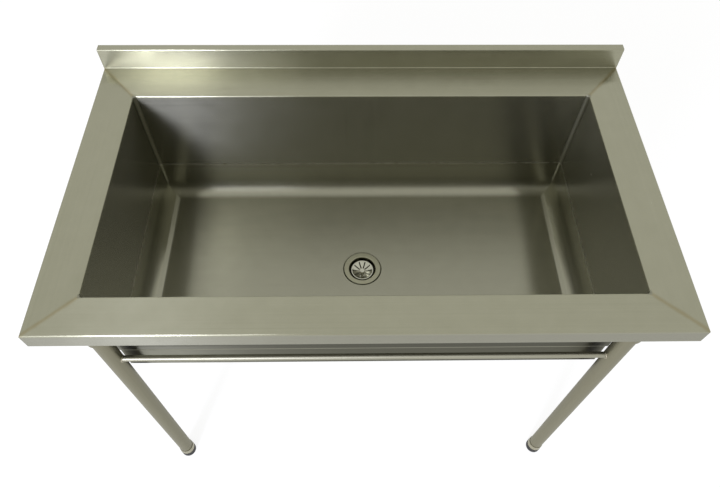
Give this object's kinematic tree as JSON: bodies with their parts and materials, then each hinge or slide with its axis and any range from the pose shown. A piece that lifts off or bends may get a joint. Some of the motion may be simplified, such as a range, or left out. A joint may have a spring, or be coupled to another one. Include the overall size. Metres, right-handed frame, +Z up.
{
  "type": "utility laundry sink",
  "caption": "Free-standing stainless laundry sink: deep welded bowl in a folded rim with a low back splash, round legs with rails, levelling feet and a basket strainer.",
  "frame": {"origin": "on the floor under the middle of the sink's plan", "axes": "+Z up, +Y towards the splash at the back, +X to the right as seen from the front"},
  "size_m": [1.2, 0.7, 0.912],
  "materials": {
    "brushed_sheet": "No. 4 brushed stainless steel, 1.5 mm",
    "mill_sheet": "dull 2B mill finish stainless steel",
    "polished_tube": "fine polished stainless tube",
    "cast_socket": "satin stainless socket",
    "zinc_hardware": "bright zinc plate",
    "foot_sleeve": "satin stainless sleeve",
    "black_rubber": "matt black rubber",
    "drain_steel": "bright polished stainless steel",
    "white_plastic": "moulded white polypropylene"
  },
  "bodies": {
    "sink": {"front_panel": "brushed_sheet", "left_panel": "brushed_sheet", "right_panel": "brushed_sheet", "back_panel": "brushed_sheet", "splash_end_cap_left": "brushed_sheet", "splash_end_cap_right": "brushed_sheet", "bowl_pan": "brushed_sheet", "front_channel": "mill_sheet", "back_channel": "mill_sheet", "front_rail": "polished_tube", "back_rail": "polished_tube", "leg_front_left": "polished_tube", "leg_front_right": "polished_tube", "leg_back_left": "polished_tube", "leg_back_right": "polished_tube", "leg_socket_front_left": "cast_socket", "leg_socket_front_right": "cast_socket", "leg_socket_back_left": "cast_socket", "leg_socket_back_right": "cast_socket", "socket_set_screws": "zinc_hardware", "foot_insert_front_left": "zinc_hardware", "foot_insert_front_right": "zinc_hardware", "foot_insert_back_left": "zinc_hardware", "foot_insert_back_right": "zinc_hardware", "drain_gasket": "black_rubber", "drain_under_washer": "black_rubber", "tail_washer": "black_rubber", "drain_body": "drain_steel", "tailpiece": "drain_steel", "drain_friction_ring": "white_plastic", "drain_lock_nut": "white_plastic", "slip_nut": "white_plastic"},
    "strainer_basket": {"strainer_crown": "drain_steel", "strainer_cup": "drain_steel", "strainer_knob": "drain_steel", "strainer_seal": "black_rubber"},
    "foot_front_left": {"foot_stud_front_left": "zinc_hardware", "foot_sleeve_front_left": "foot_sleeve", "foot_pad_front_left": "black_rubber"},
    "foot_front_right": {"foot_stud_front_right": "zinc_hardware", "foot_sleeve_front_right": "foot_sleeve", "foot_pad_front_right": "black_rubber"},
    "foot_back_left": {"foot_stud_back_left": "zinc_hardware", "foot_sleeve_back_left": "foot_sleeve", "foot_pad_back_left": "black_rubber"},
    "foot_back_right": {"foot_stud_back_right": "zinc_hardware", "foot_sleeve_back_right": "foot_sleeve", "foot_pad_back_right": "black_rubber"}
  },
  "joints": [
    {"name": "basket_lift", "type": "slide", "parent": "sink", "child": "strainer_basket", "axis": [0, 0, 1], "range_m": [0, 0.42]},
    {"name": "foot_front_left_screw", "type": "slide", "parent": "sink", "child": "foot_front_left", "axis": [0, 0, -1], "range_m": [0, 0.015]},
    {"name": "foot_front_right_screw", "type": "slide", "parent": "sink", "child": "foot_front_right", "axis": [0, 0, -1], "range_m": [0, 0.015]},
    {"name": "foot_back_left_screw", "type": "slide", "parent": "sink", "child": "foot_back_left", "axis": [0, 0, -1], "range_m": [0, 0.015]},
    {"name": "foot_back_right_screw", "type": "slide", "parent": "sink", "child": "foot_back_right", "axis": [0, 0, -1], "range_m": [0, 0.015]}
  ]
}
